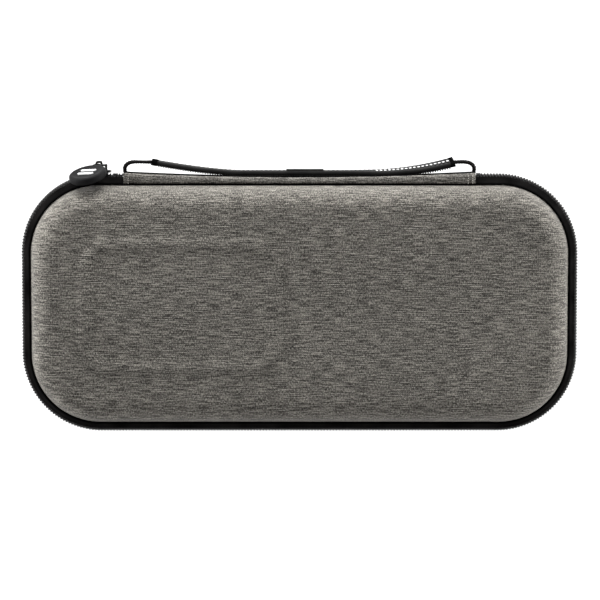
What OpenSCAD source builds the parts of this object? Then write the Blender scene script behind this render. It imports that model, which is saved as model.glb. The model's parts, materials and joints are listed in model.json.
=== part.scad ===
// Portable game console case: a moulded zip case with a fabric spine, a strap handle and a disc zip pull.
// It lies on its back: X runs along the spine, +Y points to the spine and handle, +Z points out of the lid.
// The origin is the centre of the base shell's flat bottom. All sizes are millimetres.

/* [Case] */
// Length over the zipper
case_l = 260; // [240:1:290]
// Width over the zipper, from front to spine
case_w = 121; // [112:1:135]
// Depth of the closed case
case_d = 46; // [43:0.5:52]
// Corner radius over the zipper
corner_r = 37.2; // [34:0.2:42]
// How far the zipper stands out of the shell walls
zip_stand = 5.2; // [4.9:0.1:6]

/* [Shells] */
// Thickness of the moulded shell walls
shell_t = 3; // [2:0.1:3.4]
// Outer radius of the rounded edge round each face
edge_r = 10; // [7:0.5:11]
// How much the walls lean in towards each face
draft = 1.2; // [0.6:0.1:1.8]
// Height of the zipper and spine band between the two shell rims
band_h = 17; // [16:0.2:20]
// Height of the raised frame on the lid
relief_h = 0.6; // [0.3:0.1:1]
// Length of the raised frame on the lid
relief_l = 92; // [70:1:100]
// Distance from the case's left end to the raised frame
relief_inset = 29; // [24:1:60]
// Width of the raised frame on the lid
relief_w = 62; // [50:1:70]
// Width of the frame's own line
relief_line = 5; // [3:0.5:7]

/* [Zipper] */
// Height of each coil half
coil_h = 2.8; // [2.4:0.1:3]
// Thickness of the coils, measured outwards
coil_t = 1.6; // [1.3:0.1:1.8]
// Distance from one coil turn to the next
coil_pitch = 1.43; // [1.3:0.01:1.8]
// Gap between the two coil halves, where the slider's post runs
coil_gap = 1.2; // [1:0.1:1.5]
// Thickness of the zipper tape
tape_t = 1; // [0.7:0.1:1.2]
// Running clearance between the slider and the coils
slider_gap = 0.35; // [0.3:0.05:0.5]
// Length of the slider
slider_l = 10; // [8:0.5:11]
// Thickness of the slider's plates
plate_t = 1.1; // [0.9:0.1:1.4]

/* [Pull] */
// Diameter of the pull's cord
pull_cord_d = 1.1; // [0.8:0.05:1.2]
// Distance from the slider's bar to the disc's eye
pull_reach = 4.5; // [4:0.1:7]
// Diameter of the disc
disc_d = 17.5; // [14:0.5:20]
// Thickness of the disc
disc_t = 3.5; // [2.6:0.1:4]
// Lean of the disc's face towards the lid's face
disc_lean = 19; // [10:1:24]
// Turn of the disc round the corner
disc_turn = 11.5; // [6:0.5:14]

/* [Spine] */
// How far the spine's ends lie in from the case's ends
spine_inset = 48.5; // [47.5:0.5:55]
// Thickness of the spine fabric
spine_t = 1.4; // [1:0.1:1.8]
// How far the spine hangs in at its middle
spine_sag = 2.1; // [0:0.1:2.5]
// Clearance at the spine's two folds
fold_gap = 0.3; // [0.2:0.05:0.5]

/* [Handle] */
// How far the strap's ends lie in from the spine's ends, on average
strap_inset = 10.5; // [8.5:0.5:20]
// Width of the handle strap
strap_w = 13.5; // [10:0.5:15]
// Thickness of the handle strap
strap_t = 2; // [1.4:0.1:2.4]
// Rise of the strap's ends over its middle
strap_rise = 5; // [3:0.5:6]
// Offset of the handle towards the right
strap_shift = 2.5; // [0:0.5:4]
// Diameter of the handle cords
cord_d = 1.8; // [1.4:0.1:2.2]

/* [Inside] */
// Thickness of the console tray's wall and floor
tray_t = 1.2; // [0.8:0.1:1.6]
// Height of the tray's support ribs
rib_h = 1.6; // [1:0.1:2.5]
// Thickness of the padded divider
divider_t = 3.6; // [2.5:0.1:4]
// Thickness of the mesh pocket's sheet
mesh_t = 0.6; // [0.4:0.1:0.8]
// Clearance of the fitted inner pieces
fit_gap = 0.3; // [0.2:0.05:0.4]

/* [Hidden] */
$fn = 64;

// Straight runs between the corner centres, and the radius of the shell's corners
run_x = case_l / 2 - corner_r;
run_y = case_w / 2 - corner_r;
wall_r = corner_r - zip_stand;
rim_z = (case_d - band_h) / 2;
mid_z = case_d / 2;
lid_z = case_d - rim_z;
inner_y = run_y + wall_r - shell_t;

// Where the two folds of the spine lie
axis_y = case_w / 2;
spine_x = case_l / 2 - spine_inset;

// The coils stand at the outer edge of the zipper, above and below the slot
coil_out = corner_r;
coil_in = coil_out - coil_t;
coil_low = mid_z - coil_gap / 2 - coil_h;
coil_high = mid_z - coil_gap / 2;

// The zipper runs from the slider's parking place round to the right end of the spine.
// The lid's half passes through the parked slider; the base's half starts just beyond it.
end_gap = 1.2;
base_cut = atan((slider_l / 2 + 0.9) / coil_out);
coil_left = -run_x + slider_l / 2 + end_gap;
coil_right = spine_x + 3;

// Colours as the real case shows them
heather = [0.36, 0.35, 0.33];
strip_grey = [0.5, 0.5, 0.47];
black = [0.08, 0.08, 0.08];
soft_black = [0.12, 0.12, 0.12];
felt = [0.16, 0.16, 0.17];
rubber = [0.25, 0.25, 0.26];
white = [0.9, 0.9, 0.9];
metal = [0.3, 0.3, 0.31];

// Points on an arc about a centre, from one angle to another
function arc(cx, cz, r, a0, a1, n = 6) =
  [for (i = [0 : n]) let (a = a0 + (a1 - a0) * i / n) [cx + r * cos(a), cz + r * sin(a)]];

// A profile in (distance from a corner centre, height) carried along one straight side
module side_run(turn, from_x, to_x, out) {
  rotate([0, 0, turn])
    translate([out, to_x, 0])
      rotate([90, 0, 0])
        linear_extrude(to_x - from_x) children();
}

// The same profile carried round one corner
module corner_run(sx, sy, turn) {
  translate([sx * run_x, sy * run_y, 0])
    rotate([0, 0, turn])
      rotate_extrude(angle = 90) children();
}

// The three sides and the four corners, without the spine side
module open_run() {
  corner_run(1, 1, 0) children();
  corner_run(-1, 1, 90) children();
  corner_run(-1, -1, 180) children();
  corner_run(1, -1, 270) children();
  side_run(0, -run_y, run_y, run_x) children();
  side_run(180, -run_y, run_y, run_x) children();
  side_run(270, -run_x, run_x, run_y) children();
}

// A closed ring: the open run and the whole spine side
module ring_run() {
  open_run() children();
  side_run(90, -run_x, run_x, run_y) children();
}

// A run that stops at both ends of the spine; x positions are given, and side 90 runs from +X to -X
module zipper_run(x_left, x_right) {
  open_run() children();
  side_run(90, -run_x, -x_right, run_y) children();
  if (x_left > -run_x) side_run(90, -x_left, run_x, run_y) children();
}

// Mirrors a base piece to the lid's side
module to_lid() {
  translate([0, 0, case_d]) mirror([0, 0, 1]) children();
}

// A rectangle with round corners, as one outline
module rounded_outline(lx, ly, r) {
  polygon(concat(
    arc(lx / 2 - r, ly / 2 - r, r, 0, 90, 8),
    arc(r - lx / 2, ly / 2 - r, r, 90, 180, 8),
    arc(r - lx / 2, r - ly / 2, r, 180, 270, 8),
    arc(lx / 2 - r, r - ly / 2, r, 270, 360, 8)
  ));
}

// The shell's wall from the corner centre out: floor, rounded edge and leaning wall
face_r = wall_r - draft;
function shell_profile() = concat(
  [[0, 0]],
  arc(face_r - edge_r, edge_r, edge_r, -90, 0, 8),
  [[wall_r, rim_z], [wall_r - shell_t, rim_z]],
  arc(face_r - edge_r, edge_r, edge_r - shell_t, 0, -90, 8),
  [[0, shell_t]]
);

module shell() {
  ring_run() polygon(shell_profile());
  translate([-run_x, -run_y, 0]) cube([2 * run_x, 2 * run_y, shell_t]);
}

// The raised frame on the lid's face, a plain rounded rectangle
relief_x = -case_l / 2 + relief_l / 2 + relief_inset;
relief_r = 14;
module relief() {
  translate([relief_x, 0, case_d - 0.01])
    difference() {
      linear_extrude(relief_h + 0.01) rounded_outline(relief_l, relief_w, relief_r);
      translate([0, 0, -1])
        linear_extrude(relief_h + 2)
          rounded_outline(relief_l - 2 * relief_line, relief_w - 2 * relief_line, relief_r - relief_line);
    }
}

module base_shell() {
  color(heather) shell();
}

module lid_shell() {
  color(heather) {
    to_lid() shell();
    relief();
  }
}

// The tray is a thin moulding that follows the shell's inside up to its rim
tray_out = wall_r - shell_t - fit_gap;
tray_foot = face_r - shell_t - fit_gap;
tray_edge = edge_r - shell_t - fit_gap;
tray_top = rim_z - 0.2;
rib_step = 34;
rib_w = 3;
rib_y = 2 * run_y - 4;
scoop_r = 13;
scoop_drop = 5;
function tray_profile() = concat(
  [[0, shell_t + fit_gap]],
  arc(tray_foot - tray_edge, edge_r, tray_edge, -90, 0, 6),
  [[tray_out, tray_top], [tray_out - tray_t, tray_top]],
  arc(tray_foot - tray_edge, edge_r, tray_edge - tray_t, 0, -90, 6),
  [[0, shell_t + fit_gap + tray_t]]
);
module console_tray() {
  floor_z = shell_t + fit_gap;
  color(felt)
    difference() {
      union() {
        ring_run() polygon(tray_profile());
        translate([-run_x, -run_y, floor_z]) cube([2 * run_x, 2 * run_y, tray_t]);
        for (i = [-2 : 2])
          translate([i * rib_step - rib_w / 2, -rib_y / 2, floor_z + tray_t / 2])
            cube([rib_w, rib_y, tray_t / 2 + rib_h]);
      }
      // Finger scoops in the two end walls
      for (s = [-1, 1])
        translate([s * (run_x + tray_out), 0, tray_top + scoop_r - scoop_drop])
          rotate([0, 90, 0])
            cylinder(r = scoop_r, h = 12, center = true);
    }
}

// The tape climbs from the rim out to the coil, then stands behind it
tape_bend = coil_low - 1.2;
tape_back = coil_in - tape_t;
tape_foot_w = 1.6;
module tape_outline() {
  polygon([
    [wall_r - tape_foot_w, rim_z + 0.02],
    [wall_r - 0.2, rim_z + 0.02],
    [wall_r + 1.6, rim_z + 1.3],
    [coil_in - 0.6, tape_bend - 0.9],
    [coil_in, tape_bend + 0.3],
    [coil_in, coil_high],
    [tape_back, coil_high],
    [tape_back, tape_bend + 0.5],
    [tape_back - 0.7, tape_bend - 0.3],
    [wall_r + 0.7, rim_z + 2.4]
  ]);
}
// Both tapes end low beside the spine
module tape_end_outline() {
  polygon([
    [wall_r - tape_foot_w, rim_z + 0.02],
    [wall_r - 0.2, rim_z + 0.02],
    [wall_r + 1.6, rim_z + 1.3],
    [coil_in - 0.6, tape_bend - 0.9],
    [tape_back - 0.3, tape_bend - 0.5],
    [wall_r + 0.7, rim_z + 2.4]
  ]);
}
module zipper_tape() {
  zipper_run(coil_left, coil_right) tape_outline();
  side_run(90, -coil_right, -spine_x - fold_gap, run_y) tape_end_outline();
  side_run(90, spine_x + fold_gap, -coil_left, run_y) tape_end_outline();
}
// Room for the parked slider: from the low end to a little way round the corner
module parking_cut() {
  reach = coil_out + 2;
  right = slider_l / 2 + end_gap + 0.5;
  translate([-run_x, run_y, tape_bend - 0.4])
    linear_extrude(mid_z - tape_bend)
      polygon([[0, 0], [-reach * tan(base_cut), reach], [right, reach], [right, 0]]);
}
module base_zipper_tape() {
  color(black)
    difference() {
      zipper_tape();
      parking_cut();
    }
}
module lid_zipper_tape() {
  color(black) to_lid() zipper_tape();
}

// One coil half is a comb: a thin spine of thread with a round-nosed tooth at each pitch
tooth_root = 0.55;
tooth_w = 0.62;
function tooth(s) = [
  [s - 0.5 * tooth_w * coil_pitch, tooth_root],
  [s - 0.34 * tooth_w * coil_pitch, 1],
  [s + 0.34 * tooth_w * coil_pitch, 1],
  [s + 0.5 * tooth_w * coil_pitch, tooth_root]
];

// A straight stretch of comb as an outline: along x, standing in y
module straight_comb(length) {
  n = max(1, floor(length / coil_pitch));
  step = length / n;
  polygon(concat(
    [[0, 0], [0, coil_t * tooth_root]],
    [for (i = [0 : n - 1], p = tooth((i + 0.5) * step)) [p[0], coil_t * p[1]]],
    [[length, coil_t * tooth_root], [length, 0]]
  ));
}

// The same comb bent round a quarter circle
module round_comb(cut) {
  arc_l = coil_out * PI / 2 * (90 - cut) / 90;
  n = floor(arc_l / coil_pitch);
  step = arc_l / n;
  pts = [for (i = [0 : n - 1], p = tooth((i + 0.5) * step)) p];
  outer = [for (p = pts)
    let (a = cut + p[0] / arc_l * (90 - cut), r = coil_in + coil_t * p[1])
      [r * cos(a), r * sin(a)]];
  // The inner facets lie just outside the tape's round face
  inner = arc(0, 0, (coil_in + 0.02) / cos((90 - cut) / 32), 90, cut, 16);
  root = coil_in + coil_t * tooth_root;
  polygon(concat([[root * cos(cut), root * sin(cut)]], outer, [[0, root]], inner));
}

module comb_side(turn, from_x, to_x, out) {
  rotate([0, 0, turn])
    translate([out + coil_in, from_x, coil_low])
      mirror([1, -1, 0])
        linear_extrude(coil_h) straight_comb(to_x - from_x);
}

module comb_corner(sx, sy, turn, cut = 0) {
  translate([sx * run_x, sy * run_y, coil_low])
    rotate([0, 0, turn])
      linear_extrude(coil_h) round_comb(cut);
}

module zipper_coil(cut) {
  comb_corner(1, 1, 0);
  comb_corner(-1, 1, 90, cut);
  comb_corner(-1, -1, 180);
  comb_corner(1, -1, 270);
  comb_side(0, -run_y, run_y, run_x);
  comb_side(180, -run_y, run_y, run_x);
  comb_side(270, -run_x, run_x, run_y);
  comb_side(90, -run_x, -coil_right, run_y);
  if (cut == 0) comb_side(90, -coil_left, run_x, run_y);
}
module base_zipper_coil() {
  color(black) zipper_coil(base_cut);
}
module lid_zipper_coil() {
  color(black) to_lid() zipper_coil(0);
}

// A round cord of piping where the tape meets the shell's rim
pipe_d = 1;
module piping() {
  zipper_run(coil_left, coil_right)
    translate([wall_r + pipe_d / 2 + 0.05, rim_z - pipe_d])
      circle(d = pipe_d, $fn = 16);
}
module base_piping() {
  color(soft_black) piping();
}
module lid_piping() {
  color(soft_black) to_lid() piping();
}

// Moulded stops at the two ends of the zipper, one tooth long
stop_l = 2;
module end_stop(x) {
  translate([x, run_y + coil_in, coil_low]) cube([stop_l, coil_t, coil_h]);
}
module zipper_start_stop() {
  color(metal) to_lid() end_stop(coil_left + 0.02);
}
module zipper_end_stop() {
  color(metal) end_stop(coil_right - stop_l - 0.02);
}

// The line of the spine's outer face, hanging in at its middle
function spine_y(x) = axis_y + 0.5 - spine_sag * (1 - pow(x / spine_x, 2));
spine_xs = [for (i = [-8 : 8]) spine_x * i / 8];
module spine_outline(back, front) {
  polygon(concat(
    [for (x = spine_xs) [x, spine_y(x) - front]],
    [for (i = [len(spine_xs) - 1 : -1 : 0]) [spine_xs[i], spine_y(spine_xs[i]) - back]]
  ));
}

// The fabric lip from a shell's wall out to the fold
flap_t = 1.2;
module hinge_flap() {
  wall_y = run_y + wall_r;
  translate([0, 0, rim_z - fold_gap / 2 - flap_t])
    linear_extrude(flap_t)
      polygon(concat(
        [for (x = spine_xs) [x, spine_y(x) - 0.9]],
        [[spine_x, wall_y + 0.05], [-spine_x, wall_y + 0.05]]
      ));
}
module base_hinge_flap() {
  color(strip_grey) hinge_flap();
}
module lid_hinge_flap() {
  color(strip_grey) to_lid() hinge_flap();
}

// The spine panel spans the band between the folds; a felt lining backs it
module spine_panel() {
  color(strip_grey)
    translate([0, 0, rim_z + fold_gap])
      linear_extrude(band_h - 2 * fold_gap) spine_outline(spine_t, 0);
}
lining_t = 0.8;
lining_inset = 2;
module spine_lining() {
  color(felt)
    translate([0, 0, rim_z + lining_inset])
      linear_extrude(band_h - 2 * lining_inset) spine_outline(spine_t + lining_t, spine_t);
}

// The strap's inner face: it rests near the spine in the middle and rises to its ends
strap_l = 2 * (spine_x - strap_inset);
strap_flat = 0.42;
strap_seat = spine_y(0) + 0.5;
function strap_climb(t) = strap_rise * pow(max(0, abs(t) - strap_flat) / (1 - strap_flat), 1.5);
function strap_y(t) = strap_seat + strap_climb(t);
strap_ts = [for (i = [-12 : 12]) i / 12];
module strap_line(from_t, to_t, low, high) {
  ts = [for (t = strap_ts) if (t >= from_t && t <= to_t) t];
  polygon(concat(
    [for (t = ts) [strap_shift + t * strap_l / 2, strap_y(t) + low]],
    [for (i = [len(ts) - 1 : -1 : 0]) [strap_shift + ts[i] * strap_l / 2, strap_y(ts[i]) + high]]
  ));
}
module handle_strap() {
  color(soft_black)
    translate([0, 0, mid_z - strap_w / 2])
      linear_extrude(strap_w) strap_line(-1, 1, 0, strap_t);
}

// A flat patch sewn on the strap's middle
patch_t = 0.5;
patch_inset = 1.2;
module handle_patch() {
  color(soft_black)
    translate([0, 0, mid_z - strap_w / 2 + patch_inset])
      linear_extrude(strap_w - 2 * patch_inset) strap_line(-0.13, 0.13, strap_t, strap_t + patch_t);
}

// Each cord leaves the spine's end, turns once and enters the strap's end
cord_bend = 2.6;
cord_gap = 0.3;
strap_end_y = strap_y(1) + strap_t / 2;
cord_sides = 8;
function cord_ring(p, along) =
  [for (k = [0 : cord_sides - 1])
    let (a = 360 * k / cord_sides, side = cos(a) * cord_d / 2)
      [p[0] - along[1] * side, p[1] + along[0] * side, mid_z + sin(a) * cord_d / 2]];
module cord_tube(path) {
  last = len(path) - 1;
  steps = [for (i = [0 : last]) path[min(i + 1, last)] - path[max(i - 1, 0)]];
  points = [for (i = [0 : last], p = cord_ring(path[i], steps[i] / norm(steps[i]))) p];
  sides = [for (i = [0 : last - 1], k = [0 : cord_sides - 1])
    let (a = i * cord_sides + k, b = i * cord_sides + (k + 1) % cord_sides)
      [a, a + cord_sides, b + cord_sides, b]];
  ends = [[for (k = [0 : cord_sides - 1]) k], [for (k = [cord_sides - 1 : -1 : 0]) last * cord_sides + k]];
  polyhedron(points = points, faces = concat(sides, ends));
}
module handle_cord(strap_end) {
  root_x = spine_x - cord_d;
  root_y = spine_y(root_x) + cord_gap;
  cord_tube(concat(
    [[root_x, root_y]],
    arc(root_x - cord_bend, strap_end_y - cord_bend, cord_bend, 0, 90, 5),
    [[strap_end + 0.02, strap_end_y]]
  ));
}
module handle_cord_left() {
  color(black) mirror([1, 0, 0]) handle_cord(strap_l / 2 - strap_shift);
}
module handle_cord_right() {
  color(black) handle_cord(strap_l / 2 + strap_shift);
}

// The divider is a padded page that turns on a fabric anchor at the spine wall
anchor_t = 1.3;
anchor_inset = 6.5;
anchor_l = 2 * (spine_x - anchor_inset);
divider_fold_gap = 1.5;
divider_fold_y = inner_y - anchor_t - divider_fold_gap;
divider_lift = 4.5;
divider_z = rim_z + divider_lift;
divider_play = 4;
divider_corner_play = 3;
divider_l = 2 * run_x + 2 * (wall_r - shell_t - divider_play);
divider_w = inner_y + divider_fold_y - divider_play;
module divider_anchor() {
  color(felt)
    translate([-anchor_l / 2, inner_y - anchor_t - fit_gap - tray_t - 0.3, rim_z - 1])
      cube([anchor_l, anchor_t, divider_z - rim_z + 0.6]);
}
module divider_place() {
  translate([0, divider_fold_y - divider_w / 2 - 0.6, divider_z]) children();
}
module divider_pad() {
  color(felt)
    divider_place()
      linear_extrude(divider_t)
        rounded_outline(divider_l, divider_w, wall_r - shell_t - divider_corner_play);
}

// Two rows of five card pockets on the divider's upper face
card_w = 24;
card_h = 28;
card_t = 0.7;
card_step_x = 38;
card_step_y = 40;
module card_pockets() {
  color(soft_black)
    divider_place()
      for (ix = [-2 : 2], iy = [-0.5, 0.5])
        translate([ix * card_step_x - card_w / 2, iy * card_step_y - card_h / 2, divider_t + 0.02])
          cube([card_w, card_h, card_t]);
}

// The lid's mesh pocket: a bound sheet across the rim with a zipper along its front
pocket_z = lid_z + 0.6;
bind_w = 3;
bind_t = 1.6;
// The shell's inner wall leans in by this much at the binding's far edge
bind_lean = draft * min(1, (pocket_z + bind_t / 2 - lid_z) / (rim_z - edge_r));
bind_out = wall_r - shell_t - bind_lean - 0.1;
pocket_zip_y = -24;
pocket_slot = 7;
mesh_r = bind_out - bind_w - 0.05;
module pocket_binding() {
  color(soft_black)
    ring_run()
      polygon([
        [bind_out - bind_w, pocket_z - bind_t / 2],
        [bind_out, pocket_z - bind_t / 2],
        [bind_out, pocket_z + bind_t / 2],
        [bind_out - bind_w, pocket_z + bind_t / 2]
      ]);
}
module pocket_mesh() {
  color(black)
    translate([0, 0, pocket_z - mesh_t / 2])
      linear_extrude(mesh_t)
        difference() {
          rounded_outline(2 * (run_x + mesh_r), 2 * (run_y + mesh_r), mesh_r);
          translate([-case_l, pocket_zip_y - pocket_slot / 2]) square([2 * case_l, pocket_slot]);
        }
}
pocket_zip_l = 2 * run_x;
pocket_coil_w = 1.4;
module pocket_zip_tape() {
  color(black)
    for (s = [0, 1])
      translate([0, pocket_zip_y, 0])
        mirror([0, s, 0])
          translate([-pocket_zip_l / 2, pocket_coil_w / 2 + 0.02, pocket_z - mesh_t / 2])
            cube([pocket_zip_l, pocket_slot / 2 - pocket_coil_w / 2 - 0.04, mesh_t]);
}
module pocket_zip_coil() {
  color(black)
    translate([-pocket_zip_l / 2, pocket_zip_y - pocket_coil_w / 2, pocket_z - mesh_t / 2])
      cube([pocket_zip_l, pocket_coil_w, mesh_t]);
}
// The pocket's slider hangs under the coil, with a small flat pull
slider_w = 5;
pocket_slider_l = 7;
pocket_slider_t = 1.6;
pocket_park = pocket_zip_l / 2 - pocket_slider_l;
slider_low = pocket_z - mesh_t / 2 - 0.2 - pocket_slider_t;
pin_r = 0.5;
pin_drop = 1.15;
module pocket_slider() {
  color(metal) {
    translate([pocket_park - pocket_slider_l / 2, pocket_zip_y - slider_w / 2, slider_low])
      cube([pocket_slider_l, slider_w, pocket_slider_t]);
    for (s = [-1, 1])
      translate([pocket_park - 0.8, pocket_zip_y + s * 1.7 - 0.4, slider_low - pin_drop - pin_r])
        cube([1.6, 0.8, pin_drop + pin_r]);
    translate([pocket_park, pocket_zip_y - 1.9, slider_low - pin_drop])
      rotate([-90, 0, 0]) cylinder(r = pin_r, h = 3.8);
  }
}
pocket_pull_l = 16;
pocket_pull_w = 2.4;
pocket_pull_t = 1.2;
module pocket_pull() {
  color(metal)
    translate([pocket_park, pocket_zip_y, slider_low - pin_drop])
      difference() {
        union() {
          rotate([90, 0, 0]) cylinder(r = pin_r + 0.55, h = pocket_pull_w, center = true);
          translate([-pocket_pull_l, -pocket_pull_w / 2, -pocket_pull_t / 2 - 0.1])
            cube([pocket_pull_l, pocket_pull_w, pocket_pull_t]);
        }
        rotate([90, 0, 0]) cylinder(r = pin_r + 0.08, h = 2 * pocket_pull_w, center = true);
      }
}

// The zipper's slider: two plates either side of the coils, a post in the slot and a bar for the pull
slider_y = run_y + coil_out;
plate_low = slider_y + slider_gap;
plate_high = plate_low + plate_t;
plate_back = run_y + tape_back - 0.75;
slider_half = coil_gap / 2 + coil_h + slider_gap + 0.65;
post_h = 0.8;
flange_in = 1.6;
flange_z = slider_half - 0.3;
bar_r = 0.5;
pull_r = pull_cord_d / 2;
loop_r = 1.55;
bar_y = plate_high + 0.15 + loop_r + pull_r;
bar_span = 4.2;
ear_t = 1.1;
module slider_plate(y0, y1, half) {
  translate([-run_x, 0, mid_z])
    rotate([-90, 0, 0])
      translate([0, 0, y0])
        linear_extrude(y1 - y0) rounded_outline(slider_l, 2 * half, 1.6);
}
module zip_slider() {
  color(metal) {
    slider_plate(plate_low, plate_high, slider_half);
    slider_plate(plate_back - plate_t, plate_back, slider_half - 1.3);
    // The post is short and sits at the middle of the plates
    translate([-run_x - 2, plate_back - 0.1, mid_z - post_h / 2])
      cube([4, plate_low - plate_back + 0.2, post_h]);
    // Flanges fold in past the coils
    for (s = [-1, 1])
      translate([-run_x - slider_l / 2 + flange_in, plate_low - coil_t + 0.1, mid_z + s * flange_z - 0.3])
        cube([slider_l - 2 * flange_in, coil_t, 0.6]);
    // Two ears hold the bar
    for (s = [-1, 1])
      translate([-run_x + s * (bar_span + ear_t) / 2 - ear_t / 2, plate_high - 0.1, mid_z - 0.9])
        cube([ear_t, bar_y - plate_high + 0.1 + bar_r, 1.8]);
    translate([-run_x - bar_span / 2 - 0.2, bar_y, mid_z])
      rotate([0, 90, 0]) cylinder(r = bar_r, h = bar_span + 0.4);
  }
}

// The pull's cord loop stands on the bar, leaning towards the disc
loop_lean = 14.5;
module at_loop() {
  translate([-run_x, bar_y, mid_z]) rotate([0, -loop_lean, 0]) children();
}
module loop_end() {
  rotate([90, 0, 90])
    rotate_extrude(angle = 180) translate([loop_r, 0]) circle(r = pull_r, $fn = 24);
}
module pull_loop() {
  color(black)
    at_loop() {
      translate([0, 0, pull_reach]) loop_end();
      rotate([0, 180, 0]) loop_end();
      for (s = [-1, 1])
        translate([0, s * loop_r, 0]) cylinder(r = pull_r, h = pull_reach, $fn = 24);
    }
}

// The disc hangs from its eye: the tab's free bar lies inside the loop
tab_t = 1.4;
tab_w = 5;
eye_r = pull_r + 0.5;
tab_end = 0.5;
tab_reach = disc_d / 2 + 2.4;
tab_dir = 23.5;
module at_disc() {
  at_loop()
    translate([0, 0, pull_reach])
      rotate([0, loop_lean, 0])
        rotate([0, 0, disc_turn])
          rotate([90 + disc_lean, 0, 0])
            rotate([0, 0, tab_dir])
              children();
}
// In the disc's own frame the tab points along -Y, and the face looks along -Z
module disc_body() {
  translate([0, tab_reach, 0]) children();
}
module pull_disc() {
  color(rubber)
    at_disc()
      difference() {
        union() {
          disc_body() cylinder(d = disc_d, h = disc_t - 1.4, center = true);
          disc_body() cylinder(d = disc_d - 1.4, h = disc_t, center = true);
          translate([-tab_w / 2, -tab_end, -tab_t / 2])
            cube([tab_w, tab_reach - disc_d / 2 + tab_end + 1, tab_t]);
        }
        translate([0, loop_r, 0]) cylinder(r = eye_r, h = 2 * disc_t, center = true);
      }
}

// Two short white bars moulded on the disc's face
bar_l = 7;
bar_w = 1.6;
bar_step = 3.6;
bar_h = 0.25;
module disc_grip_bars() {
  color(white)
    at_disc()
      disc_body()
        for (s = [-0.5, 0.5])
          translate([0, s * bar_step, -disc_t / 2 - bar_h - 0.01])
            linear_extrude(bar_h) rounded_outline(bar_l, bar_w, bar_w / 2 - 0.01);
}

base_shell();
console_tray();
base_zipper_tape();
base_zipper_coil();
base_piping();
base_hinge_flap();
divider_anchor();
zipper_start_stop();
zipper_end_stop();
spine_panel();
spine_lining();
handle_strap();
handle_patch();
handle_cord_left();
handle_cord_right();
lid_shell();
lid_zipper_tape();
lid_zipper_coil();
lid_piping();
lid_hinge_flap();
pocket_mesh();
pocket_binding();
pocket_zip_tape();
pocket_zip_coil();
pocket_slider();
pocket_pull();
divider_pad();
card_pockets();
zip_slider();
pull_loop();
pull_disc();
disc_grip_bars();
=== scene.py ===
import json
import math

import bmesh
import bpy
from mathutils import Matrix, Vector, noise

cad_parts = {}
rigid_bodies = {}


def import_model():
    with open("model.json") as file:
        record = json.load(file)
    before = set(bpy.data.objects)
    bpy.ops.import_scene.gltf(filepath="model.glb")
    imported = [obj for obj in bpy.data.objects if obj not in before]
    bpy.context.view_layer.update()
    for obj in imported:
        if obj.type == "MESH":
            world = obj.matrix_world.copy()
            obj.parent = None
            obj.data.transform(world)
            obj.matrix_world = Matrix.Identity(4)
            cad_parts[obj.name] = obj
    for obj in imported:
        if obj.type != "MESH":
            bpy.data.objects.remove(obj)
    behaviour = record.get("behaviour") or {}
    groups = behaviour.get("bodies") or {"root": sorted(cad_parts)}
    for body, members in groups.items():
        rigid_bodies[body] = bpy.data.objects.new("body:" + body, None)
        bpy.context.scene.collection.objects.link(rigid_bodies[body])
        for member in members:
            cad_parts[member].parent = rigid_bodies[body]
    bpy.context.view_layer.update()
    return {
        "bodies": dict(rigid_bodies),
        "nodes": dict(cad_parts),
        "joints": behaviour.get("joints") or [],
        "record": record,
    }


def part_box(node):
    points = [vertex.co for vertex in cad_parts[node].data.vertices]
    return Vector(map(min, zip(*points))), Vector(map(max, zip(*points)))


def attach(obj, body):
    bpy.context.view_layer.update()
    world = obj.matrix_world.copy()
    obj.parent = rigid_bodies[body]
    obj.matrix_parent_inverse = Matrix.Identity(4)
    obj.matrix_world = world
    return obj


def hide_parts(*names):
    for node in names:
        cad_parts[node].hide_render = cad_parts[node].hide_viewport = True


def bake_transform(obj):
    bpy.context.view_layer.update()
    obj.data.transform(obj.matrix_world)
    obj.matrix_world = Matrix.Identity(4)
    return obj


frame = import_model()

MM = 0.001
SEED = 7
NO_LENGTH = 1e-9
QUARTER = math.pi / 2

# The case's own sizes, read from the frame where a node's box gives them
coil_lo, zip_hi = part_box("base_zipper_coil")
shell_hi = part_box("base_shell")[1]
case_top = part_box("lid_zipper_coil")[1].z + coil_lo.z
corner_r = 37.2 * MM
run_x = zip_hi.x - corner_r
run_y = zip_hi.y - corner_r
wall_r = shell_hi.x - run_x
rim_z = shell_hi.z
lid_z = case_top - rim_z
mid_z = case_top / 2
draft = 1.2 * MM
edge_r = 10 * MM
shell_t = 3 * MM
face_r = wall_r - draft
spine_x, spine_end_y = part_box("spine_panel")[1].xy
spine_sag = 2.1 * MM

# Small tools


def mm_size(*values):
    """A vector given in millimetres."""
    return Vector(values) * MM


def make_piece(name, bm, material, smooth_angle=40):
    """Turns a bmesh into a named object with a material and smooth shading up to an angle."""
    mesh = bpy.data.meshes.new(name)
    bm.to_mesh(mesh)
    bm.free()
    piece = bpy.data.objects.new(name, mesh)
    bpy.context.scene.collection.objects.link(piece)
    mesh.materials.append(material)
    mesh.shade_smooth()
    if smooth_angle < 180:
        mesh.set_sharp_from_angle(angle=math.radians(smooth_angle))
    return piece


def tidy(bm, distance=1e-6):
    """Merges doubled vertices and turns the faces outwards."""
    bmesh.ops.remove_doubles(bm, verts=bm.verts, dist=distance)
    bmesh.ops.recalc_face_normals(bm, faces=bm.faces)
    return bm


def wall_distance(x, y):
    """Distance outside the rectangle of corner centres, the way out, and the rectangle's nearest point."""
    near = Vector((max(-run_x, min(run_x, x)), max(-run_y, min(run_y, y))))
    away = Vector((x, y)) - near
    return away.length, away.normalized() if away.length > NO_LENGTH else Vector((0, 0)), near


def arc_points(cu, cz, radius, start, end, count):
    """Points (out, up) on an arc, angles in degrees from straight out."""
    angles = [math.radians(start + (end - start) * i / count) for i in range(count + 1)]
    return [(cu + radius * math.cos(a), cz + radius * math.sin(a)) for a in angles]


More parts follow.
